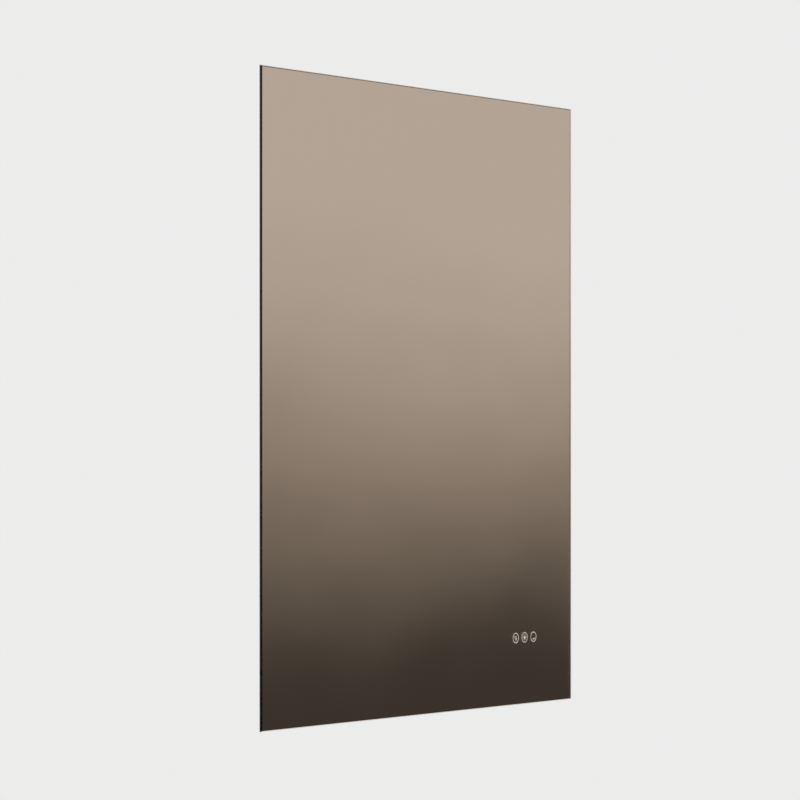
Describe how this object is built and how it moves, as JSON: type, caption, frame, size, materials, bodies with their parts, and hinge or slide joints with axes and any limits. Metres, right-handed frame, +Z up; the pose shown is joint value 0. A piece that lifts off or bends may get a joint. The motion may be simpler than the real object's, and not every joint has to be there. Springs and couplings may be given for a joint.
{
  "type": "lighted bathroom mirror",
  "caption": "Frameless wall-hung bathroom mirror with a back light, a heated pane and touch icons, which hooks onto a wall cleat.",
  "frame": {"origin": "on the wall plane, at the middle of the wall cleat's line of screw slots", "axes": "+Z up, the pane faces -Y, +X to the right of someone who looks at the mirror"},
  "size_m": [0.762, 0.035, 0.914],
  "materials": {
    "clear_glass": "polished faces, finely ground edges",
    "silver": "silvered",
    "white_film": "satin",
    "opal": "satin, translucent",
    "anodised": "satin anodised",
    "galvanised": "galvanised",
    "white_paint": "powder coated",
    "zinc_screw": "zinc plated",
    "black_rubber": "matt",
    "grey_rubber": "matt",
    "foam": "foam",
    "heating_foil": "printed film",
    "white_strip": "solder resist",
    "chip": "phosphor",
    "green_board": "solder resist",
    "black_part": "moulded",
    "white_part": "moulded",
    "grey_part": "moulded",
    "white_lead": "sheathed"
  },
  "bodies": {
    "wall_side": {"wall_cleat": "anodised"},
    "mirror": {"board_components": "black_part", "board_standoffs": "white_part", "bonding_tape": "foam", "box_rivets": "zinc_screw", "bracket_screws": "zinc_screw", "bumper_screws": "zinc_screw", "cable_gland": "grey_part", "control_board": "green_board", "corner_keys": "anodised", "corner_screws": "zinc_screw", "cover_screws": "zinc_screw", "demister_lead": "white_lead", "demister_pad": "heating_foil", "demister_terminal": "white_part", "diffuser_bottom": "opal", "diffuser_left": "opal", "diffuser_right": "opal", "diffuser_top": "opal", "frame_bottom": "anodised", "frame_left": "anodised", "frame_right": "anodised", "frame_top": "anodised", "gear_rail": "galvanised", "gland_lock_nut": "grey_part", "gland_nut": "grey_part", "gland_seal": "black_rubber", "glass_pane": "clear_glass", "grommets": "black_rubber", "hanger_rail": "anodised", "hanger_screws": "zinc_screw", "icon_diffuser": "opal", "led_chips": "chip", "led_driver": "white_part", "led_strip_bottom": "white_strip", "led_strip_left": "white_strip", "led_strip_right": "white_strip", "led_strip_top": "white_strip", "light_lead": "white_lead", "power_box": "white_paint", "power_box_cover": "white_paint", "rail_brackets": "galvanised", "rail_rivets": "zinc_screw", "safety_film": "white_film", "sense_pads": "foam", "silver_coating": "silver", "terminal_block": "white_part", "terminal_screws": "zinc_screw", "touch_board": "green_board", "touch_cover": "black_part", "touch_housing": "black_part", "touch_lead": "white_lead", "touch_screws": "zinc_screw", "wall_bumpers": "grey_rubber", "wire_clips": "white_part"}
  },
  "joints": [
    {"name": "lift", "type": "slide", "parent": "wall_side", "child": "mirror", "axis": [0, 0, 1], "range_m": [0, 0.012]}
  ]
}
